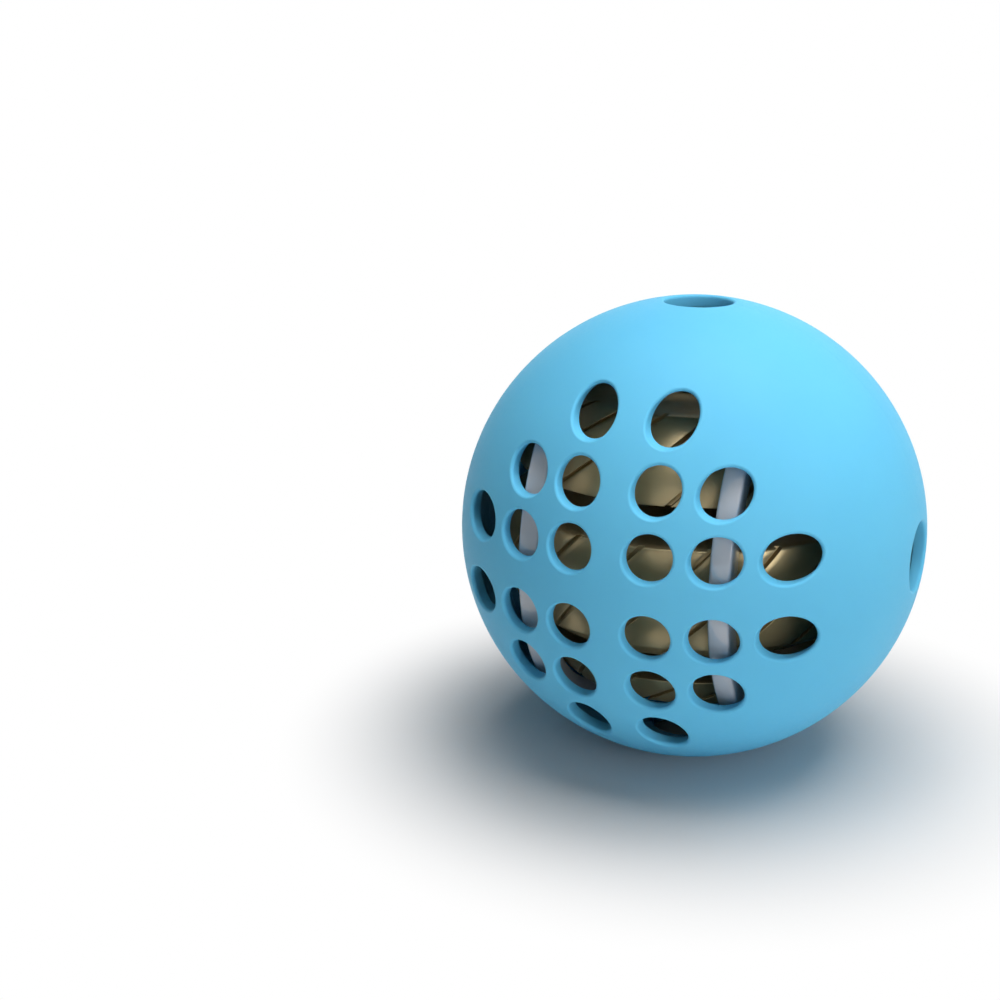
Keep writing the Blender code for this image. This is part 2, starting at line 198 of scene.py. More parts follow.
def add_ring(outer, bore, start, end, sides):
    """A flat ring or a tube: both ends of a bar are inset, then bridged."""
    ring = add_rod(outer, start, end, sides)
    line = (Vector(end) - Vector(start)).normalized()
    pick(ring, "FACE", lambda centre, normal: abs(normal.dot(line)) > 0.99)
    bpy.ops.mesh.inset(thickness=outer - bore, depth=0.0)
    bpy.ops.mesh.bridge_edge_loops()
    done()
    return ring


def add_mesh(points, edges, faces):
    """A piece from its own points, edges and faces."""
    mesh = bpy.data.meshes.new("mesh")
    mesh.from_pydata(points, edges, faces)
    piece = bpy.data.objects.new("piece", mesh)
    bpy.context.scene.collection.objects.link(piece)
    return piece


def bevel_edges(piece, test, width, segments):
    """Round the edges that pass a test."""
    pick(piece, "EDGE", test)
    bpy.ops.mesh.bevel(offset=width, offset_type="OFFSET", segments=segments, affect="EDGES")
    done()


def combine(piece, tool, operation="DIFFERENCE"):
    """Cut a tool out of a piece, or join it on, and remove the tool."""
    use(piece)
    bpy.ops.object.modifier_add(type="BOOLEAN")
    modifier = piece.modifiers[-1]
    modifier.operation = operation
    modifier.solver = "EXACT"
    modifier.object = tool
    bpy.ops.object.modifier_apply(modifier=modifier.name)
    bpy.data.objects.remove(tool)
    return piece


print("helpers for rods, blocks, rings, bevels and cuts are ready")

# %% [markdown]
# ## Effects that several finishes share
# Moulded plastic has a very fine grain, metal shows the marks of its turning, and no colour is
# quite even. Each effect is a node group with named inputs, so that a material places it with its
# own numbers. The groups give out only masks, roughness and heights.

# %% Node helpers


def add_node(tree, kind, **values):
    """A node with its settings, and with its inputs given by name."""
    made = tree.nodes.new(kind)
    for name, value in values.items():
        if hasattr(made, name):
            setattr(made, name, value)
        else:
            made.inputs[name.replace("_", " ")].default_value = value
    return made


def link(start, output, end, socket):
    """Join an output of one node to an input of another in the same tree."""
    start.id_data.links.new(start.outputs[output], end.inputs[socket])


def new_group(name, inputs, outputs):
    """An empty node group with float sockets, and a vector socket for the place."""
    tree = bpy.data.node_groups.new(name, "ShaderNodeTree")
    tree.interface.new_socket(name="Place", in_out="INPUT", socket_type="NodeSocketVector")
    for socket, value in inputs.items():
        made = tree.interface.new_socket(
            name=socket, in_out="INPUT", socket_type="NodeSocketFloat"
        )
        made.default_value = value
    for socket in outputs:
        tree.interface.new_socket(name=socket, in_out="OUTPUT", socket_type="NodeSocketFloat")
    print("group:", name)
    return tree, tree.nodes.new("NodeGroupInput"), tree.nodes.new("NodeGroupOutput")


print("node helpers are ready")

# %% Fine grain of a mould


def make_fine_grain():
    """Small uneven bumps, with a roughness that follows them."""
    tree, source, target = new_group("fine_grain", {"Scale": 900.0, "Low": 0.3, "High": 0.5},
                                     ("Roughness", "Height"))
    noise = add_node(tree, "ShaderNodeTexNoise", Detail=3.0, Roughness=0.6)
    spread = add_node(tree, "ShaderNodeMapRange", From_Min=0.35, From_Max=0.65)
    link(source, "Place", noise, "Vector")
    link(source, "Scale", noise, "Scale")
    link(noise, "Fac", spread, "Value")
    link(source, "Low", spread, "To Min")
    link(source, "High", spread, "To Max")
    link(spread, "Result", target, "Roughness")
    link(noise, "Fac", target, "Height")
    return tree


fine_grain = make_fine_grain()

# %% Soft clouds


def make_clouds():
    """Large soft patches, from 0 to 1, for uneven colour."""
    tree, source, target = new_group("clouds", {"Scale": 30.0, "Edge": 0.15}, ("Mask",))
    noise = add_node(tree, "ShaderNodeTexNoise", Detail=4.0, Roughness=0.55)
    spread = add_node(tree, "ShaderNodeMapRange")
    for operation, limit in (("SUBTRACT", "From Min"), ("ADD", "From Max")):
        around_half = add_node(tree, "ShaderNodeMath", operation=operation)
        around_half.inputs[0].default_value = 0.5
        link(source, "Edge", around_half, 1)
        link(around_half, "Value", spread, limit)
    link(source, "Place", noise, "Vector")
    link(source, "Scale", noise, "Scale")
    link(noise, "Fac", spread, "Value")
    link(spread, "Result", target, "Mask")
    return tree


clouds = make_clouds()

# %% Marks of turning


def make_turning_marks():
    """Fine rings round the Z axis, as a lathe leaves them on a flat or round face."""
    tree, source, target = new_group("turning_marks", {"Pitch": 4000.0}, ("Height", "Mask"))
    flat = add_node(tree, "ShaderNodeVectorMath", operation="MULTIPLY")
    flat.inputs[1].default_value = (1.0, 1.0, 0.6)
    distance = add_node(tree, "ShaderNodeVectorMath", operation="LENGTH")
    stretch = add_node(tree, "ShaderNodeMath", operation="MULTIPLY")
    noise = add_node(tree, "ShaderNodeTexNoise", noise_dimensions="1D", Scale=1.0, Detail=2.0)
    spread = add_node(tree, "ShaderNodeMapRange", From_Min=0.3, From_Max=0.7)
    link(source, "Place", flat, 0)
    link(flat, "Vector", distance, 0)
    link(distance, "Value", stretch, 0)
    link(source, "Pitch", stretch, 1)
    link(stretch, "Value", noise, "W")
    link(noise, "Fac", spread, "Value")
    link(noise, "Fac", target, "Height")
    link(spread, "Result", target, "Mask")
    return tree


turning_marks = make_turning_marks()

# %% [markdown]
# ## What every finish has in common
# Each finish mixes two close colours in soft patches, in fine rings or in both, takes its roughness
# from the fine grain, and gets a slight bump from the rings where it is turned, or else from the
# grain.

# %% Make a finish
# Some sockets of Blender's Mix node share a name, so they are given by number.
FACTOR, VALUE_A, VALUE_B, COLOUR_A, COLOUR_B = 0, 2, 3, 6, 7
VALUE_OUT, COLOUR_OUT = 0, 2


def start_material(name):
    """A material with its shader, and the coordinates on the object that its patterns read."""
    material = bpy.data.materials.new(name)
    material.use_nodes = True
    tree = material.node_tree
    return material, tree, tree.nodes["Principled BSDF"], tree.nodes.new("ShaderNodeTexCoord")


def place_group(tree, group, place, **values):
    """Put a shared effect into a material with this material's own numbers."""
    made = tree.nodes.new("ShaderNodeGroup")
    made.node_tree = group
    link(place, "Object", made, "Place")
    for name, value in values.items():
        made.inputs[name].default_value = value
    return made


def mix_colours(tree, effect, first, second):
    """A node that goes from the first colour to the second as the effect's mask goes to 1."""
    mix = tree.nodes.new("ShaderNodeMix")
    mix.data_type = "RGBA"
    link(effect, "Mask", mix, FACTOR)
    if isinstance(first, tuple):
        mix.inputs[COLOUR_A].default_value = (*first, 1.0)
    else:
        link(first, COLOUR_OUT, mix, COLOUR_A)
    mix.inputs[COLOUR_B].default_value = (*second, 1.0)
    return mix


def make_finish(slot, name, colours, grain, bump, patches=None, pitch=None, metallic=0.0):
    """Fill a slot: grain (scale, low, high), bump (strength, distance), patches (scale, edge)."""
    material, tree, shader, place = start_material(name)
    shader.inputs["Metallic"].default_value = metallic
    colour, *others = colours
    if patches:
        scale, edge = patches
        effect = place_group(tree, clouds, place, Scale=scale, Edge=edge)
        colour = mix_colours(tree, effect, colour, others.pop(0))
    scale, low, high = grain
    relief = place_group(tree, fine_grain, place, Scale=scale, Low=low, High=high)
    link(relief, "Roughness", shader, "Roughness")
    if pitch:
        relief = place_group(tree, turning_marks, place, Pitch=pitch)
        colour = mix_colours(tree, relief, colour, others.pop(0))
    link(colour, COLOUR_OUT, shader, "Base Color")
    strength, distance = bump
    bumped = add_node(tree, "ShaderNodeBump", Strength=strength, Distance=distance)
    link(relief, "Height", bumped, "Height")
    link(bumped, "Normal", shader, "Normal")
    finishes[slot] = material
    print("finish:", name, "for", slot)
    return shader


print("a finish can use the groups", [group.name for group in bpy.data.node_groups])

# %% [markdown]
# ## Sky-blue plastic
# The shells are moulded in a matte sky blue. Light sinks into such a plastic a little, so a small
# share of subsurface scattering softens the rims of the holes. The colour is nearly even, with
# broad faint clouds, and the grain of the mould keeps highlights wide and soft.

# %% Sky-blue plastic
shader = make_finish(
    "blue_shell", "sky_blue_plastic", colours=((0.145, 0.590, 0.900), (0.160, 0.625, 0.930)),
    patches=(28.0, 0.2), grain=(1400.0, 0.44, 0.56), bump=(0.10, 0.02 * MM),
)
shader.inputs["IOR"].default_value = 1.46
shader.inputs["Specular IOR Level"].default_value = 0.10
shader.inputs["Subsurface Weight"].default_value = 0.08
shader.inputs["Subsurface Radius"].default_value = (0.3, 0.6, 1.0)
shader.inputs["Subsurface Scale"].default_value = 0.8 * MM

# %% [markdown]
# ## Grey plastic
# The hoops and bars are a cool light grey and much glossier than the shells, so they catch a
# bright line along their rounded edges. Faint patches in the colour and a low bump keep the gloss
# from looking like glass.

# %% Grey plastic
shader = make_finish(
    "grey_frame", "cool_grey_plastic", colours=((0.540, 0.550, 0.585), (0.580, 0.590, 0.620)),
    patches=(60.0, 0.2), grain=(700.0, 0.07, 0.11), bump=(0.03, 0.01 * MM),
)
shader.inputs["Specular IOR Level"].default_value = 0.9

# %% [markdown]
# ## Brass
# The core's alloy is a brass that water has dulled in patches, so it has a wide soft sheen and
# mirrors nothing sharply. Its faces were turned, so fine rings run round the axis. A share of plain
# colour under the metal stands in for the thin dull layer on it.

# %% Brass
make_finish(
    "brass_core", "turned_brass", metallic=0.55,
    colours=((0.510, 0.395, 0.205), (0.450, 0.350, 0.185), (0.480, 0.372, 0.195)),
    patches=(70.0, 0.30), pitch=5200.0, grain=(420.0, 0.34, 0.41), bump=(0.05, 0.01 * MM),
)

# %% [markdown]
# ## Steel and dark plastic
# The bolt, its nut and the washer are plain steel with the same turning marks, only finer. The
# spacers between the discs are a dark plastic that hardly shows.

# %% Steel and dark plastic
make_finish(
    "steel_fastener", "plain_steel", metallic=1.0,
    colours=((0.520, 0.520, 0.530), (0.620, 0.620, 0.620)),
    pitch=9000.0, grain=(800.0, 0.24, 0.36), bump=(0.12, 0.01 * MM),
)
make_finish(
    "dark_spacer", "dark_grey_plastic", colours=((0.045, 0.045, 0.048), (0.060, 0.060, 0.063)),
    patches=(80.0, 0.2), grain=(900.0, 0.45, 0.60), bump=(0.10, 0.02 * MM),
)

# %% [markdown]
# ## The shell's surface
# Each half of the ball is a wall 2.5 mm thick with 24 round holes that are all drawn along Y, and
# three half holes on its rim. A Boolean would leave long thin faces round every hole, which shade
# badly and can't be rounded. So the outer and the inner surface are laid out flat instead, as a
# map of a half globe. Even points are strewn over the map, the outlines of the holes are fixed
# lines on it, and a Delaunay triangulation joins them with well-shaped triangles.

# %% Sizes of the shell
BALL_RADIUS = 45.0 * MM
INNER_RADIUS = 42.5 * MM
HOLE_RADIUS = 4.3 * MM
HOLE_STEPS = (7.2 * MM, 18.2 * MM, 29.2 * MM)
PORT_RADIUS = 6.5 * MM
SEAM_GAP = 0.02 * MM
HOLE_FILLET = 0.50 * MM
PORT_FILLET = 0.60 * MM
INNER_FILLET = 0.30 * MM
HOLE_POINTS = 48
PORT_POINTS = 33
FILLET_STEPS = 5
SEAM_STEP = math.radians(1.5)
OUTER_SPACING = 1.4 * MM
INNER_SPACING = 2.2 * MM
PORTS = (("X", 1), ("Z", 1), ("Z", -1))

hole_places = [
    (sx * HOLE_STEPS[i], sz * HOLE_STEPS[j])
    for i in range(3) for j in range(3 - i) for sx in (-1, 1) for sz in (-1, 1)
]
print(len(hole_places), "small holes in each half")

# %% [markdown]
# ## Soft rims
# Every hole has a softly rounded rim. The rounding is the path of a small ball that rolls round
# the hole inside the plastic and touches both the sphere and the hole's wall. Its centre, and the
# two points where it touches, follow from the radii, so the rim is exact all round the hole.

# %% Rings of points round a hole


def slerp(start, end, share):
    """The direction part of the way from one to another, along the arc between them."""
    angle = np.arccos(np.clip((start * end).sum(1, keepdims=True), -1.0, 1.0))
    first = np.sin((1.0 - share) * angle)
    last = np.sin(share * angle)
    return (first * start + last * end) / np.sin(angle)


def fillet_rings(centres, to_surface, to_wall, size):
    """Rings that go from the sphere round a rolling ball to the wall."""
    shares = [step / FILLET_STEPS for step in range(FILLET_STEPS + 1)]
    return [centres + size * slerp(to_surface, to_wall, share) for share in shares]


def hole_rings(x, z, side):
    """Rings of a small hole, from the outer sphere through the wall to the inner one."""
    turn = np.linspace(0.0, 2.0 * np.pi, HOLE_POINTS, endpoint=False)
    away = np.stack([np.cos(turn), np.zeros_like(turn), np.sin(turn)], axis=1)
    made = []
    for radius, sign, size in ((BALL_RADIUS, -1, HOLE_FILLET), (INNER_RADIUS, 1, INNER_FILLET)):
        centres = np.array([x, 0.0, z]) + (HOLE_RADIUS + size) * away
        reach = radius + sign * size
        centres[:, 1] = side * np.sqrt(reach**2 - centres[:, 0] ** 2 - centres[:, 2] ** 2)
        made.append(fillet_rings(centres, -sign * centres / reach, -away, size))
    return made[0] + made[1][::-1]


print("a small hole has", len(hole_rings(*hole_places[0], -1)), "rings of", HOLE_POINTS, "points")

# %% Rings of points round a larger hole


def port_rings(axis, sign, side):
    """Half rings of a larger hole on the X or Z axis, from the outer to the inner sphere."""
    made = []
    for radius, way, size in ((BALL_RADIUS, -1, PORT_FILLET), (INNER_RADIUS, 1, INNER_FILLET)):
        reach = radius + way * size
        centre = np.array([PORT_RADIUS + size, math.sqrt(reach**2 - (PORT_RADIUS + size) ** 2)])
        start = (-way * centre / reach)[None]
        rings = fillet_rings(centre[None], start, np.array([[-1.0, 0.0]]), size)
        made.append([ring[0] for ring in rings])
    points = []
    for distance, height in made[0] + made[1][::-1]:
        low = math.asin(SEAM_GAP / distance)
        turn = np.linspace(low, math.pi - low, PORT_POINTS)
        along = np.full(PORT_POINTS, sign * height)
        across = distance * np.cos(turn)
        depth = side * distance * np.sin(turn)
        order = (along, depth, across) if axis == "X" else (across, depth, along)
        points.append(np.stack(order, axis=1))
    return points


print("a larger hole has", len(port_rings("X", 1, -1)), "half rings of", PORT_POINTS, "points")

# %% [markdown]
# ## The map of a half globe
# A stereographic map keeps angles, so triangles that are well shaped on the map are well shaped on
# the sphere. The middle of the map is the front of the ball and its edge is the seam.

# %% Triangulate a half sphere with holes
NEAREST = 0.45
INSIDE_OUTLINES = 2
SAME_POINT = 0.00001


def to_map(points, radius):
    """Stereographic map of points on a half sphere, in millimetres."""
    scale = radius / (radius + np.abs(points[:, 1]))
    return np.stack([points[:, 0] * scale, points[:, 2] * scale], axis=1) / MM


def strew_points(radius, side, spacing):
    """Even rings of points over a half sphere."""
    made = [np.array([[0.0, side * radius, 0.0]])]
    rings = int(math.pi / 2 * radius / spacing)
    for ring in range(1, rings + 1):
        polar = ring * math.pi / 2 / rings
        count = max(6, round(2 * math.pi * radius * math.sin(polar) / spacing))
        turn = (np.arange(count) + 0.5 * (ring % 2)) * 2 * np.pi / count
        flat = radius * math.sin(polar)
        made.append(np.stack([
            flat * np.cos(turn), np.full(count, side * radius * math.cos(polar)),
            flat * np.sin(turn),
        ], axis=1))
    return np.concatenate(made)


def keep_clear(points, loops, side, near):
    """Drop the points that lie in a hole, or too near to an outline."""
    keep = side * points[:, 1] > near
    for x, z in hole_places:
        keep &= np.hypot(points[:, 0] - x, points[:, 2] - z) > HOLE_RADIUS + HOLE_FILLET
    for axis, sign in PORTS:
        along, across = (0, (1, 2)) if axis == "X" else (2, (0, 1))
        away = np.hypot(points[:, across[0]], points[:, across[1]])
        keep &= (away > PORT_RADIUS + PORT_FILLET) | (sign * points[:, along] < 0)
    for loop in loops:
        gap = np.linalg.norm(points[:, None] - loop[None], axis=2).min(axis=1)
        keep &= gap > near
    return points[keep]


def cover(loops, radius, side, spacing):
    """Points and triangles of a half sphere between its outlines."""
    inside = keep_clear(strew_points(radius, side, spacing), loops, side, NEAREST * spacing)
    points = np.concatenate(loops + [inside])
    edges = []
    first = 0
    for loop in loops:
        count = len(loop)
        edges += [(first + i, first + (i + 1) % count) for i in range(count)]
        first += count
    flat = [Vector(point) for point in to_map(points, radius)]
    _, _, faces, origin, _, _ = delaunay_2d_cdt(flat, edges, [], INSIDE_OUTLINES, SAME_POINT)
    placed = points[[names[0] for names in origin]]
    centres = placed[np.array(faces)].mean(axis=1)
    open_face = np.zeros(len(faces), dtype=bool)
    for loop in loops[1:]:
        middle = loop.mean(axis=0)
        rim = np.hypot(*(loop - middle)[:, [0, 2]].T).mean()
        open_face |= np.hypot(*(centres - middle)[:, [0, 2]].T) < rim
    return placed, [tuple(face) for face, is_open in zip(faces, open_face) if not is_open]


print("map helpers are ready")

# %% [markdown]
# ## A half shell
# The outlines are shared: the first and the last ring of every rim are also edges of the two
# triangulated surfaces, so merging points that lie on one another closes the shell. The seam is a
# flat strip between the outer and the inner edge.

# %% Put a half shell together


class Patches:
    """Points and faces that are collected, and become one mesh."""

    def __init__(self):
        self.points = []
        self.faces = []
        self.count = 0

    def add(self, points, faces):
        self.points.append(points)
        self.faces += [tuple(i + self.count for i in face) for face in faces]
        self.count += len(points)

    def add_strips(self, rings, closed):
        """Join rings of the same number of points with strips of quads."""
        wide = len(rings[0])
        last = wide if closed else wide - 1
        faces = []
        for row in range(len(rings) - 1):
            for i in range(last):
                j = (i + 1) % wide
                low = row * wide
                faces.append((low + i, low + j, low + wide + j, low + wide + i))
        self.add(np.concatenate(rings), faces)


def seam_arc(start, end, side):
    """Points on the seam from one larger hole to the next."""
    radius = math.hypot(start[0], start[2])
    low = math.atan2(start[2], start[0])
    high = math.atan2(end[2], end[0])
    if high < low:
        high += 2 * math.pi
    turn = np.linspace(low, high, round((high - low) / SEAM_STEP) + 1)
    made = np.stack([
        radius * np.cos(turn), np.full_like(turn, side * SEAM_GAP), radius * np.sin(turn)
    ], axis=1)
    made[0] = start
    made[-1] = end
    return made


def in_order(rings, axis, sign):
    """Turn a larger hole's half rings so that they run on round the seam."""
    ends = rings[0][0], rings[0][-1]
    turn = [math.atan2(end[2], end[0]) for end in ends]
    middle = 0.0 if axis == "X" else sign * math.pi / 2
    apart = [(value - middle + math.pi) % (2 * math.pi) - math.pi for value in turn]
    return rings if apart[0] < apart[1] else [ring[::-1] for ring in rings]


def make_half(side):
    """One half shell as a closed mesh."""
    patches = Patches()
    holes = [hole_rings(x, z, side) for x, z in hole_places]
    ports = [in_order(port_rings(axis, sign, side), axis, sign) for axis, sign in PORTS]
    for rings in holes:
        patches.add_strips(rings, closed=True)
    for rings in ports:
        patches.add_strips(rings, closed=False)
    arcs = {}
    for layer in (0, -1):
        rim = []
        for number, rings in enumerate(ports):
            after = ports[(number + 1) % len(ports)]
            arcs[(layer, number)] = seam_arc(rings[layer][-1], after[layer][0], side)
            rim += [rings[layer], arcs[(layer, number)][1:-1]]
        loops = [np.concatenate(rim)] + [rings[layer] for rings in holes]
        outer = (BALL_RADIUS, side, OUTER_SPACING)
        inner = (INNER_RADIUS, side, INNER_SPACING)
        patches.add(*cover(loops, *(outer if layer == 0 else inner)))
    for number, rings in enumerate(ports):
        after = ports[(number + 1) % len(ports)]
        patches.add_strips([arcs[(0, number)], arcs[(-1, number)]], closed=False)
        for end, place in ((rings, -1), (after, 0)):
            profile = np.array([ring[place] for ring in end])
            patches.add(profile, [tuple(range(len(profile)))])
    piece = add_mesh(np.concatenate(patches.points).tolist(), [], patches.faces)
    tidy_mesh(piece)
    return piece


front_shell = make_half(-1)
print("front half:", len(front_shell.data.polygons), "faces")

# %% [markdown]
# ## The seam
# A tongue on the back half slides into a step in the front half, so that the halves line up. The
# step is cut out of the front half with a ring, and this small cut is one that a Boolean does well.

# %% Step in the front half
TONGUE_RADIUS = 43.6 * MM
PLAY = 0.3 * MM
STEP_DEPTH = 3.3 * MM
STEP_BORE = INNER_RADIUS - 1.5 * MM

step_ring = add_ring(TONGUE_RADIUS + PLAY, STEP_BORE, (0, -STEP_DEPTH, 0), (0, MM, 0), 192)
combine(front_shell, step_ring)
tidy_mesh(front_shell)
print("front half with its step:", len(front_shell.data.polygons), "faces")

# %% [markdown]
# Points on the two spheres get the exact normal of the sphere, so that no triangle shows in a
# highlight. Faces of the rims keep the smooth normals that Blender works out.

# %% Exact normals
ON_SPHERE = 0.002 * MM
SAME_WAY = 0.85


def true_normals(piece):
    """Give every corner on the outer or the inner sphere the sphere's own normal."""
    mesh = piece.data
    count = len(mesh.vertices)
    places = np.empty(count * 3)
    mesh.vertices.foreach_get("co", places)
    places = places.reshape(-1, 3)
    distance = np.linalg.norm(places, axis=1)
    radial = places / np.maximum(distance, 1e-9)[:, None]
    on_outer = np.abs(distance - BALL_RADIUS) < ON_SPHERE
    on_inner = np.abs(distance - INNER_RADIUS) < ON_SPHERE
    want = np.where(on_outer[:, None], radial, np.where(on_inner[:, None], -radial, 0.0))
    normals = np.zeros((len(mesh.loops), 3))
    for face in mesh.polygons:
        straight = np.array(face.normal)
        for loop in face.loop_indices:
            wanted = want[mesh.loops[loop].vertex_index]
            if wanted @ straight > SAME_WAY:
                normals[loop] = wanted
    mesh.normals_split_custom_set(normals.tolist())


true_normals(finish_piece(front_shell, "front_shell", FRONT, "blue_shell", "shell_front"))
true_normals(finish_piece(make_half(1), "back_shell", BACK, "blue_shell", "shell_back"))

# %% [markdown]
# ## Hoops
# Each hoop is a flat moulded ring in a plane of constant X. It starts as a bar, is bridged to a
# ring, and its outer edges are rounded by half a millimetre. Blocks cut the seats for the cross
# bars and the notch for the key that stops it from turning.

# %% Hoops
HOOP_INNER_FACE = 16.2 * MM
HOOP_OUTER_FACE = 20.1 * MM
HOOP_RADIUS = 37.305 * MM
HOOP_BORE = 32.955 * MM
HOOP_EDGE = 0.5 * MM
HOOP_BORE_EDGE = 0.35 * MM
BAR_HALF_WIDTH = 3.5 * MM
BAR_OUTER = 33.655 * MM
BAR_INNER = 29.255 * MM
KEY_TIP = 36.005 * MM
KEY_HALF_HEIGHT = 1.5 * MM


def make_hoop(name, side, node):
    """One hoop with its seats and its notch."""
    near, far = sorted((side * HOOP_INNER_FACE, side * HOOP_OUTER_FACE))
    hoop = add_ring(HOOP_RADIUS, HOOP_BORE, (near, 0, 0), (far, 0, 0), 128)
    halfway = (HOOP_RADIUS + HOOP_BORE) / 2

    def at(radius_test):
        def test(first, last):
            level = abs(first.x - last.x) < LEVEL
            return level and all(radius_test(math.hypot(end.y, end.z)) for end in (first, last))
        return test

    bevel_edges(hoop, at(lambda distance: distance > halfway), HOOP_EDGE, 4)
    bevel_edges(hoop, at(lambda distance: distance < halfway), HOOP_BORE_EDGE, 2)
    for sign in (-1, 1):
        low, high = sorted((sign * (HOOP_BORE - 3 * MM), sign * (BAR_OUTER + PLAY)))
        combine(hoop, add_block(
            (near - MM, -BAR_HALF_WIDTH - PLAY, low), (far + MM, BAR_HALF_WIDTH + PLAY, high)
        ))
    combine(hoop, add_block(
        (near - MM, KEY_TIP - PLAY, -KEY_HALF_HEIGHT - PLAY),
        (far + MM, HOOP_RADIUS + 3 * MM, KEY_HALF_HEIGHT + PLAY),
    ))
    finish_piece(hoop, name, BACK, "grey_frame", node)


make_hoop("left_hoop", -1, "hoop_left")
make_hoop("right_hoop", 1, "hoop_right")

# %% [markdown]
# ## Cross bars
# A bar joins the hoops above the core and another one below it. They are plain moulded bars with
# rounded long edges, bored for the bolt.

# %% Cross bars
BAR_HALF_LENGTH = 19.5 * MM
BAR_EDGE = 0.6 * MM
BOLT_BORE = 2.8 * MM


def make_bar(name, side, node):
    """One cross bar; side is 1 above the core and -1 below it."""
    low, high = sorted((side * BAR_INNER, side * BAR_OUTER))
    bar = add_block(
        (-BAR_HALF_LENGTH, -BAR_HALF_WIDTH, low), (BAR_HALF_LENGTH, BAR_HALF_WIDTH, high)
    )
    bevel_edges(bar, lambda first, last: abs(first.x - last.x) > MM, BAR_EDGE, 4)
    combine(bar, add_rod(BOLT_BORE, (0, 0, low - MM), (0, 0, high + MM), 48))
    finish_piece(bar, name, BACK, "grey_frame", node)


make_bar("top_bar", 1, "bridge_top")
make_bar("bottom_bar", -1, "bridge_bottom")

# %% [markdown]
# ## Discs of the core
# The core is a sphere cut into three discs, each a cup that is open underneath. Eighteen slots lean
# across each rim at 45 degrees, as on a helical gear. If the slots were cut with a Boolean, their
# edges would cross the mesh at random and could not be rounded. Instead a grid is wrapped round
# the disc: its rows follow the section of the disc and its columns lean with the slots, so that
# the edges of the slots are lines of the mesh and get a rounding of their own.

# %% Section of a disc
CORE_RADIUS = 36.4523 * MM
DISC_WALL = 2.7 * MM
CAVITY_RADIUS = CORE_RADIUS - DISC_WALL
SLOTS = 18
SLOT_WIDTH = 0.8 * MM
SLOT_DEPTH = 1.2 * MM
SLOT_EDGE = 0.15 * MM
SLOT_LEAN = math.radians(45.0)
WEB = 2.5 * MM
FLAT_RADIUS = 8.0 * MM
RIM_BAND = 2.6 * MM
DISC_EDGE = 0.5 * MM
FOOT_EDGE = 0.3 * MM
BORE_EDGE = 0.2 * MM
HOLLOW_CORNER = 0.8 * MM
OUTER_ROWS = 1.6 * MM
INNER_ROWS = 2.2 * MM


def on_sphere(radius, heights):
    """Points of a sphere's outline at some heights, as (distance from the axis, height)."""
    return [(math.sqrt(radius**2 - z**2), z) for z in heights]


def round_corners(points, sizes, steps=3):
    """Replace the corners that have a size with short curves."""
    made = []
    for number, (corner, size) in enumerate(zip(points, sizes)):
        if not size:
            made.append(corner)
            continue
        here = Vector(corner)
        before = Vector(points[number - 1])
        after = Vector(points[(number + 1) % len(points)])
        start = here + (before - here).normalized() * size
        end = here + (after - here).normalized() * size
        for step in range(steps + 1):
            share = step / steps
            spot = start * (1 - share) ** 2 + here * 2 * share * (1 - share) + end * share**2
            made.append(tuple(spot))
    return made


def slot_columns():
    """One pitch of columns, in two halves round the land between two slots.

    Each column is (share of the slot's half width, distance beyond it, share of the land, depth).
    """
    land = 8
    half = [(0.0, 0.0, 0.0, SLOT_DEPTH), (1.0, 0.0, 0.0, SLOT_DEPTH),
            (1.0, 0.0, 0.0, SLOT_EDGE), (1.0, 0.3 * SLOT_EDGE, 0.0, 0.3 * SLOT_EDGE),
            (1.0, SLOT_EDGE, 0.0, 0.0)]
    middle = [(1.0, SLOT_EDGE, step / land, 0.0) for step in range(1, land)]
    return half + middle, half[:0:-1]


print("columns in one pitch:", len(slot_columns()[0]) + len(slot_columns()[1]))

# %% Wrap a grid round a disc


def wrap_grid(places):
    """A grid whose corners move to the given places, in rows and columns that close."""
    rows, columns, _ = places.shape
    begin()
    bpy.ops.mesh.primitive_grid_add(x_subdivisions=columns - 1, y_subdivisions=rows - 1, size=1.0)
    piece = bpy.context.object
    piece.data.vertices.foreach_set("co", places.reshape(-1))
    piece.data.update()
    tidy_mesh(piece, 0.0002 * MM)
    return piece


def make_disc(name, section, turn, node):
    """A disc from its section and the turn of its first slot."""
    section = np.array(section + section[:1])
    distance, height = section[:, 0], section[:, 1]
    latitude = np.arcsin(height / CORE_RADIUS)
    skew = np.log(np.tan(np.pi / 4 + latitude / 2)) / math.tan(SLOT_LEAN)
    rim = CORE_RADIUS * np.cos(latitude)
    half_slot = SLOT_WIDTH / 2 / math.sin(SLOT_LEAN)
    pitch = 2 * np.pi / SLOTS
    first, second = slot_columns()
    columns = []
    for number in range(SLOTS):
        for wide, beyond, share, depth in first:
            edge = (wide * half_slot + beyond) / rim
            start = (half_slot + SLOT_EDGE) / rim
            spot = edge + share * (pitch - 2 * start) if share else edge
            columns.append((number * pitch + spot, depth))
        for wide, beyond, _, depth in second:
            columns.append(((number + 1) * pitch - (wide * half_slot + beyond) / rim, depth))
    columns.append((np.full_like(rim, 2 * np.pi), SLOT_DEPTH))
    places = np.empty((len(section), len(columns), 3))
    for number, (spot, depth) in enumerate(columns):
        azimuth = turn + skew + spot - math.pi / 2
        floor = np.sqrt(np.maximum((CORE_RADIUS - depth) ** 2 - height**2, 0.0))
        reach = np.minimum(distance, floor) if depth else distance
        places[:, number, 0] = reach * np.cos(azimuth)
        places[:, number, 1] = reach * np.sin(azimuth)
        places[:, number, 2] = height
    finish_piece(wrap_grid(places), name, BACK, "brass_core", node)


def heights(top, bottom, step=OUTER_ROWS):
    """Even heights from the top to the bottom."""
    return list(np.linspace(top, bottom, max(2, round(abs(top - bottom) / step) + 1)))


print("disc helpers are ready")

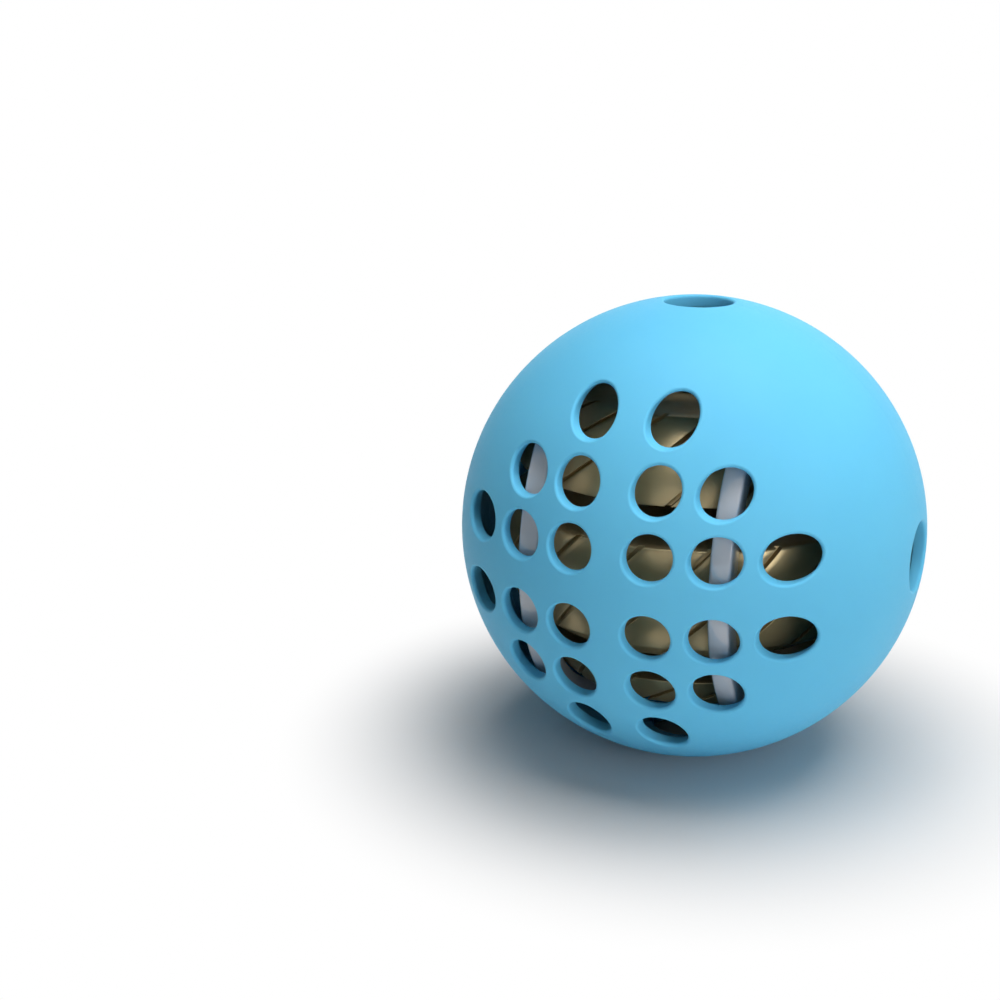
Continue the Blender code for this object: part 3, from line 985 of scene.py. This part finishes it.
# %% The three discs
TOP_FACE = 27.655 * MM
TOP_DISC_FOOT = 13.714 * MM
MIDDLE_TOP = 6.518 * MM
MIDDLE_EDGE = -12.825 * MM
MIDDLE_FOOT = -15.825 * MM
LOWEST_FACE = 20.908 * MM
CHAMFER = 4.4 * MM
CHAMFER_EDGE = 0.25 * MM


def disc_section(top, bottom, foot=None):
    """Section of a disc: top face, round rim, foot, inside wall, web and bore.

    A foot below the rim's lower edge makes a wide chamfer under the rim.
    """
    outer = on_sphere(CORE_RADIUS, heights(top, bottom))
    inner = on_sphere(CAVITY_RADIUS, heights(bottom, top - WEB, INNER_ROWS))
    points = [(BOLT_BORE, top), (FLAT_RADIUS, top), (outer[0][0] - RIM_BAND, top)] + outer
    sizes = [BORE_EDGE, 0, 0, DISC_EDGE] + [0] * (len(outer) - 2)
    if foot is None:
        sizes += [FOOT_EDGE, FOOT_EDGE]
    else:
        reach = outer[-1][0] - CHAMFER
        points += [(reach, foot), (reach - DISC_WALL, foot)]
        sizes += [CHAMFER_EDGE, CHAMFER_EDGE, FOOT_EDGE, 0]
    points += inner + [(FLAT_RADIUS, top - WEB), (BOLT_BORE, top - WEB)]
    return round_corners(points, sizes + [0] * (len(inner) - 2) + [HOLLOW_CORNER, 0, BORE_EDGE])


for name, section, degrees, node in (
    ("top_disc", disc_section(TOP_FACE, TOP_DISC_FOOT), 9.0, "disc_top"),
    ("bottom_disc", disc_section(-LOWEST_FACE, -TOP_FACE), 17.2, "disc_bottom"),
    ("middle_disc", disc_section(MIDDLE_TOP, MIDDLE_EDGE, MIDDLE_FOOT), 14.5, "disc_middle"),
):
    make_disc(name, section, math.radians(degrees), node)

# %% [markdown]
# ## Spacers and washer
# Short tubes on the bolt keep the discs apart, and a thin washer lies under the top bar. They are
# rings with a small bevel on every round edge, and with play at both ends.

# %% Spacers and washer
SPACER_RADIUS = 6.0 * MM
WASHER_RADIUS = 5.5 * MM

for name, radius, top, bottom, slot, node in (
    ("upper_spacer", SPACER_RADIUS, TOP_FACE - WEB, MIDDLE_TOP, "dark_spacer", "spacer_upper"),
    ("lower_spacer", SPACER_RADIUS, MIDDLE_TOP - WEB, -LOWEST_FACE, "dark_spacer", "spacer_lower"),
    ("bottom_collar", SPACER_RADIUS, -LOWEST_FACE - WEB, -BAR_INNER, "dark_spacer",
     "collar_bottom"),
    ("top_washer", WASHER_RADIUS, BAR_INNER, TOP_FACE, "steel_fastener", "washer_top"),
):
    ring = add_ring(radius, BOLT_BORE, (0, 0, bottom + PLAY), (0, 0, top - PLAY), 64)
    bevel_edges(ring, lambda first, last: abs(first.z - last.z) < LEVEL, BORE_EDGE, 2)
    finish_piece(ring, name, BACK, slot, node)

# %% [markdown]
# ## Bolt and nut
# The bolt is a standard one with a hexagon head. A head or nut gets its typical curved corners
# where a six-sided bar meets a chamfered round one, so the two are intersected. The thread is a
# grid wrapped round the shank, whose radius rises and falls as a helix.

# %% Bolt and nut
BOLT_RADIUS = 2.5 * MM
HEX_RADIUS = 4.6 * MM
HEAD_TOP = -BAR_OUTER - PLAY
HEAD_HEIGHT = 3.0 * MM
NUT_FOOT = BAR_OUTER + PLAY
NUT_HEIGHT = 4.0 * MM
BOLT_TIP = NUT_FOOT + NUT_HEIGHT + 1.0 * MM
THREAD_PITCH = 0.8 * MM
THREAD_DEPTH = 0.42 * MM
THREAD_START = 20.0 * MM
TIP_CHAMFER = 0.7 * MM
CORNER_CUT = 0.65 * MM


def make_hexagon(low, high, chamfered):
    """A six-sided bar whose corners are turned off at the given heights."""
    bar = add_rod(HEX_RADIUS, (0, 0, low), (0, 0, high), 6)
    round_bar = add_rod(HEX_RADIUS + 0.03 * MM, (0, 0, low), (0, 0, high), 96)

    def on_rim(first, last):
        level = abs(first.z - last.z) < LEVEL
        return level and any(abs(first.z - height) < LEVEL for height in chamfered)

    bevel_edges(round_bar, on_rim, CORNER_CUT, 1)
    return combine(bar, round_bar, "INTERSECT")


def make_shank(bottom, tip):
    """A threaded bar: the thread's depth follows a helix and runs out at the tip."""
    around = 48
    levels = np.concatenate([[bottom], np.arange(THREAD_START, tip, THREAD_PITCH / 8), [tip]])
    turn = np.linspace(0, 2 * np.pi, around + 1)
    rows = []
    for level in levels:
        phase = (level / THREAD_PITCH + turn / (2 * np.pi)) % 1.0
        cut = THREAD_DEPTH * np.clip(1.4 * np.abs(2 * phase - 1) - 0.2, 0.0, 1.0)
        cut = cut if level > THREAD_START else np.zeros_like(cut)
        reach = np.minimum(BOLT_RADIUS - cut, BOLT_RADIUS - TIP_CHAMFER + (tip - level))
        rows.append(np.stack([
            reach * np.cos(turn), reach * np.sin(turn), np.full_like(turn, level)
        ], axis=1))
    ends = [np.tile([0.0, 0.0, height], (1, around + 1, 1)) for height in (bottom, tip)]
    return wrap_grid(np.concatenate([ends[0], np.array(rows), ends[1]]))


head = make_hexagon(HEAD_TOP - HEAD_HEIGHT, HEAD_TOP, (HEAD_TOP - HEAD_HEIGHT,))
bolt = combine(head, make_shank(HEAD_TOP - HEAD_HEIGHT / 2, BOLT_TIP), "UNION")
finish_piece(bolt, "through_bolt", BACK, "steel_fastener", "tie_bolt")
nut = make_hexagon(NUT_FOOT, NUT_FOOT + NUT_HEIGHT, (NUT_FOOT, NUT_FOOT + NUT_HEIGHT))
combine(nut, add_rod(BOLT_BORE, (0, 0, NUT_FOOT - MM), (0, 0, BOLT_TIP + MM), 48))
finish_piece(nut, "bolt_nut", BACK, "steel_fastener", "lock_nut")

# %% [markdown]
# ## Tongue, pegs and keys
# These small pieces show when the front half is pulled off. The tongue runs round the back half's
# seam between the larger holes. Four pegs on the front half enter four sockets on the back half,
# and two keys inside the back wall hold the hoops.

# %% Turned pieces


def lathe(section, start, axis, steps):
    """Spin a section round an axis; its points are (distance, height along the axis)."""
    axis = Vector(axis)
    across = axis.orthogonal().normalized()
    points = [Vector(start) + across * distance + axis * height for distance, height in section]
    piece = add_mesh(points, [(i, i + 1) for i in range(len(points) - 1)], [])
    edit_all(piece)
    bpy.ops.mesh.spin(steps=steps, angle=2 * math.pi, center=start, axis=axis)
    done()
    tidy_mesh(piece)
    return piece


print("the lathe helper is ready")

# %% Pegs and sockets
BOSS_RADIUS = 2.6 * MM
BOSS_LENGTH = 8.0 * MM
BOSS_DISTANCE = 40.9 * MM
PEG_RADIUS = 1.1 * MM
PEG_LENGTH = 4.5 * MM
BOSS_START = 3.6 * MM
SEAT_GAP = 0.1 * MM
PEG_BORE = PEG_RADIUS + PLAY
SOFT = 0.2 * MM
PEG_TIP = 0.4 * MM

peg_section = [
    (0, BOSS_LENGTH), (BOSS_RADIUS, BOSS_LENGTH), (BOSS_RADIUS, BOSS_START + SOFT),
    (BOSS_RADIUS - SOFT, BOSS_START), (PEG_RADIUS + SOFT, BOSS_START),
    (PEG_RADIUS, BOSS_START - SOFT), (PEG_RADIUS, PEG_TIP - PEG_LENGTH),
    (PEG_RADIUS - PEG_TIP, -PEG_LENGTH), (0, -PEG_LENGTH),
]
socket_section = [
    (0, BOSS_LENGTH), (BOSS_RADIUS, BOSS_LENGTH), (BOSS_RADIUS, SEAT_GAP + SOFT),
    (BOSS_RADIUS - SOFT, SEAT_GAP), (PEG_BORE + SOFT, SEAT_GAP), (PEG_BORE, SEAT_GAP + SOFT),
    (PEG_BORE, PEG_LENGTH + PLAY), (0, PEG_LENGTH + PLAY),
]
for number in range(4):
    turn = math.radians(45 + 90 * number)
    x = BOSS_DISTANCE * math.cos(turn)
    z = BOSS_DISTANCE * math.sin(turn)
    peg = lathe(peg_section, (x, 0, z), (0, -1, 0), 40)
    finish_piece(peg, f"seam_peg_{number + 1}", FRONT, "blue_shell")
    socket = lathe(socket_section, (x, 0, z), (0, 1, 0), 40)
    finish_piece(socket, f"seam_socket_{number + 1}", BACK, "blue_shell")

# %% Tongue
TONGUE_LENGTH = 3.0 * MM
TONGUE_CLEAR = 7.0 * MM
TONGUE_ROOT = 0.4 * MM
TONGUE_INNER = INNER_RADIUS + 0.03 * MM


def make_tongue(start, end):
    """A stretch of the tongue, between two of the larger holes."""
    clear = math.asin(TONGUE_CLEAR / INNER_RADIUS)
    turn = np.linspace(start + clear, end - clear, round((end - start) / SEAM_STEP))
    section = [
        (TONGUE_INNER, TONGUE_ROOT), (TONGUE_RADIUS, TONGUE_ROOT),
        (TONGUE_RADIUS, SOFT - TONGUE_LENGTH), (TONGUE_RADIUS - SOFT, -TONGUE_LENGTH),
        (TONGUE_INNER + SOFT, -TONGUE_LENGTH), (TONGUE_INNER, SOFT - TONGUE_LENGTH),
        (TONGUE_INNER, TONGUE_ROOT),
    ]
    places = np.array([
        [(distance * math.cos(t), height, distance * math.sin(t)) for t in turn]
        for distance, height in section
    ])
    piece = wrap_grid(places)
    edit_all(piece)
    bpy.ops.mesh.fill_holes(sides=0)
    bpy.ops.mesh.normals_make_consistent(inside=False)
    done()
    return piece


quarter = math.pi / 2
for number, (start, end) in enumerate(((0, quarter), (quarter, 3 * quarter), (-quarter, 0))):
    finish_piece(make_tongue(start, end), f"seam_tongue_{number + 1}", BACK, "blue_shell")

# %% Keys
KEY_PLACE = 18.0 * MM
KEY_HALF_WIDTH = 1.2 * MM
KEY_ROOT = 39.8 * MM
KEY_EDGE = 0.25 * MM

for name, side in (("left_key", -1), ("right_key", 1)):
    key = add_block(
        (side * KEY_PLACE - KEY_HALF_WIDTH, KEY_TIP, -KEY_HALF_HEIGHT),
        (side * KEY_PLACE + KEY_HALF_WIDTH, KEY_ROOT, KEY_HALF_HEIGHT),
    )
    bevel_edges(key, lambda first, last: max(first.y, last.y) < KEY_TIP + LEVEL, KEY_EDGE, 2)
    finish_piece(key, name, BACK, "blue_shell")

# %% [markdown]
# ## Floor
# The ball stands on a white sweep: a floor that curves up behind it, so that no edge shows. Close
# to the ball the floor is a matte grey that keeps the soft shadow, and round that shadow the grey is
# painted shade. It fades with the distance from the ball, and far from it the floor is plain white
# for the camera and for reflections.

# %% Floor
ball_low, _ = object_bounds()
FLOOR_HALF = 1.5
SWEEP_HEIGHT = 1.5
SWEEP_RADIUS = 0.5
begin()
bpy.ops.mesh.primitive_plane_add(size=2 * FLOOR_HALF, location=(0, 0, ball_low.z))
floor = bpy.context.object
floor.name = "white_sweep"
bpy.ops.object.transform_apply()
pick(floor, "EDGE", lambda first, last: min(first.y, last.y) > FLOOR_HALF / 2)
bpy.ops.mesh.extrude_region_move(TRANSFORM_OT_translate={"value": (0, 0, SWEEP_HEIGHT)})
done()
bevel_edges(
    floor, lambda first, last: min(first.y, last.y) > FLOOR_HALF / 2
    and max(first.z, last.z) < ball_low.z + MM, SWEEP_RADIUS, 16,
)
use(floor)
bpy.ops.object.shade_smooth()
print("floor at", round(ball_low.z / MM, 3), "mm")

# %% Finish of the floor
# The painted shade round the ball fades out between these two distances from its centre.
PAINTED_SHADE_FADES = 62 * MM
PAINTED_SHADE_GONE = 95 * MM

paper, tree, shader, place = start_material("paper_with_painted_shade")
shader.inputs["Roughness"].default_value = 0.9
shader.inputs["Specular IOR Level"].default_value = 0.0
patches = place_group(tree, clouds, place, Scale=4.0, Edge=0.3)
# Grey base colour: near the ball the camera sees it as painted shade round the real shadow.
white = mix_colours(tree, patches, (0.70, 0.70, 0.70), (0.72, 0.72, 0.72))
link(white, COLOUR_OUT, shader, "Base Color")
glow = add_node(tree, "ShaderNodeEmission", Strength=1.0)
rays = tree.nodes.new("ShaderNodeLightPath")
seen = add_node(tree, "ShaderNodeMath", operation="MAXIMUM")
link(rays, "Is Camera Ray", seen, 0)
link(rays, "Is Glossy Ray", seen, 1)
length = add_node(tree, "ShaderNodeVectorMath", operation="LENGTH")
link(place, "Object", length, 0)
# Mask by distance from the ball: 0 keeps the grey painted shade, 1 gives plain white.
far = add_node(tree, "ShaderNodeMapRange", interpolation_type="SMOOTHSTEP",
               From_Min=PAINTED_SHADE_FADES, From_Max=PAINTED_SHADE_GONE)
link(length, "Value", far, "Value")
share = add_node(tree, "ShaderNodeMath", operation="MULTIPLY")
link(far, "Result", share, 0)
link(seen, "Value", share, 1)
blend = tree.nodes.new("ShaderNodeMixShader")
link(share, "Value", blend, FACTOR)
link(shader, "BSDF", blend, 1)
link(glow, "Emission", blend, 2)
link(blend, "Shader", tree.nodes["Material Output"], "Surface")
floor.data.materials.append(paper)
print("finish:", paper.name)

# %% [markdown]
# ## Light
# The photograph has a broad soft light overhead, a little to the right, which leaves a soft round
# shadow under the ball. A weaker wide one on the right reaches into the holes and lights their
# walls. The world fills in, more from the upper right than from the lower left. Reflections see a
# brighter version of it, and the camera sees plain white.

# %% Light


def add_lamp(name, place, size, power):
    """A large soft white area lamp that points at the ball's centre."""
    begin()
    bpy.ops.object.light_add(type="AREA", location=place)
    lamp = bpy.context.object
    lamp.name = name
    lamp.data.shape = "RECTANGLE"
    lamp.data.size = size[0]
    lamp.data.size_y = size[1]
    lamp.data.energy = power
    lamp.rotation_euler = (-Vector(place)).to_track_quat("-Z", "Y").to_euler()


add_lamp("top_softbox", (0.09, 0.00, 0.62), (0.55, 0.55), 4.3)
add_lamp("side_softbox", (0.64, -0.42, 0.14), (0.50, 0.30), 1.6)

# %% Room light
BRIGHT_SIDE = (0.80, -0.10, 0.60)
FILL_LEVELS = (0.01, 0.20)
MIRRORED_LEVELS = (0.45, 1.0)
CAMERA_LEVEL = 1.0

world = bpy.data.worlds.new("white_room")
bpy.context.scene.world = world
world.use_nodes = True
tree = world.node_tree
background = tree.nodes["Background"]
background.inputs["Color"].default_value = (1.0, 1.0, 1.0, 1.0)
sky = tree.nodes.new("ShaderNodeTexCoord")
side = add_node(tree, "ShaderNodeVectorMath", operation="DOT_PRODUCT")
side.inputs[1].default_value = BRIGHT_SIDE
link(sky, "Generated", side, 0)
rays = tree.nodes.new("ShaderNodeLightPath")
mirrored = tree.nodes.new("ShaderNodeMix")
for (dark, bright), socket in ((FILL_LEVELS, VALUE_A), (MIRRORED_LEVELS, VALUE_B)):
    level = add_node(tree, "ShaderNodeMapRange", interpolation_type="SMOOTHSTEP",
                     From_Min=-0.9, From_Max=0.9, To_Min=dark, To_Max=bright)
    link(side, "Value", level, "Value")
    link(level, "Result", mirrored, socket)
link(rays, "Is Glossy Ray", mirrored, FACTOR)
strength = tree.nodes.new("ShaderNodeMix")
strength.inputs[VALUE_B].default_value = CAMERA_LEVEL
link(rays, "Is Camera Ray", strength, FACTOR)
link(mirrored, VALUE_OUT, strength, VALUE_A)
link(strength, VALUE_OUT, background, "Strength")
bpy.context.scene.view_settings.view_transform = "Standard"
print("lamps:", [item.name for item in bpy.data.lights])
